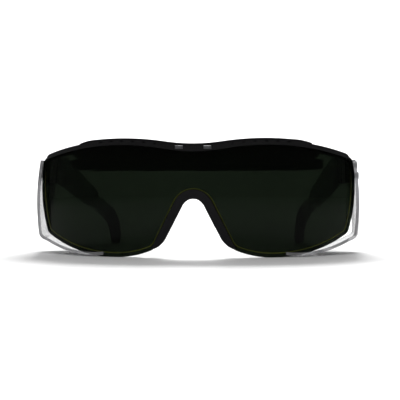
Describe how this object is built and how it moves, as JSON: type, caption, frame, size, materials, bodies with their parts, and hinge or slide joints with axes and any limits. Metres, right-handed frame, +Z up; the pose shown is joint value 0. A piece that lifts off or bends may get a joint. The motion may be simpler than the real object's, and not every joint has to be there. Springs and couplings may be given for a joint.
{
  "type": "over-the-glasses welding spectacles",
  "caption": "Wraparound welding spectacles: dark green shield lens, black brow frame, smoke side shields, soft nose piece and temples that fold, tilt and telescope.",
  "frame": {"origin": "bottom centre of the bounding box, on the table that the spectacles stand on", "axes": "+Z up, +X to the wearer's left, +Y from the lens back to the ears"},
  "size_m": [0.166, 0.1592, 0.0562],
  "materials": {
    "lens": "polished dark green polycarbonate",
    "brow_black": "satin black moulded nylon",
    "clip_grey": "grey moulded plastic",
    "soft_black": "soft matte black elastomer",
    "shield_clear": "polished smoke polycarbonate",
    "hinge_grey": "satin grey acetal",
    "temple_grey": "satin pale grey nylon",
    "steel": "bright stainless steel"
  },
  "bodies": {
    "front": {"lens_shield": "lens", "brow_frame": "brow_black", "brow_rail": "brow_black", "lens_clip_left": "clip_grey", "lens_clip_right": "clip_grey", "brow_shelf": "brow_black", "brow_pad": "soft_black", "nose_piece": "soft_black", "side_shield_left": "shield_clear", "side_shield_right": "shield_clear", "end_piece_left": "temple_grey", "end_piece_right": "temple_grey", "shield_rivets_left": "steel", "shield_rivets_right": "steel", "hinge_pin_left": "steel", "hinge_pin_right": "steel"},
    "hinge_left": {"hinge_block_left": "hinge_grey", "tilt_screw_left": "steel"},
    "sleeve_left": {"temple_sleeve_left": "temple_grey", "length_spring_left": "steel"},
    "arm_left": {"temple_slider_left": "temple_grey", "ear_tip_left": "soft_black"},
    "hinge_right": {"hinge_block_right": "hinge_grey", "tilt_screw_right": "steel"},
    "sleeve_right": {"temple_sleeve_right": "temple_grey", "length_spring_right": "steel"},
    "arm_right": {"temple_slider_right": "temple_grey", "ear_tip_right": "soft_black"}
  },
  "joints": [
    {"name": "fold_left", "type": "hinge", "parent": "front", "child": "hinge_left", "pos_m": [0.072, -0.03933, 0.0425], "axis": [0, 0, 1], "range_deg": [0, 83]},
    {"name": "tilt_left", "type": "hinge", "parent": "hinge_left", "child": "sleeve_left", "pos_m": [0.0708, -0.02981, 0.0425], "axis": [0.9921, 0.1253, 0], "range_deg": [0, 7.5]},
    {"name": "extend_left", "type": "slide", "parent": "sleeve_left", "child": "arm_left", "axis": [-0.1211, 0.9583, -0.2588], "range_m": [-0.009, 0]},
    {"name": "fold_right", "type": "hinge", "parent": "front", "child": "hinge_right", "pos_m": [-0.072, -0.03933, 0.0425], "axis": [0, 0, -1], "range_deg": [0, 70]},
    {"name": "tilt_right", "type": "hinge", "parent": "hinge_right", "child": "sleeve_right", "pos_m": [-0.0708, -0.02981, 0.0425], "axis": [0.9921, -0.1253, 0], "range_deg": [0, 7.5]},
    {"name": "extend_right", "type": "slide", "parent": "sleeve_right", "child": "arm_right", "axis": [0.1211, 0.9583, -0.2588], "range_m": [-0.009, 0]}
  ]
}
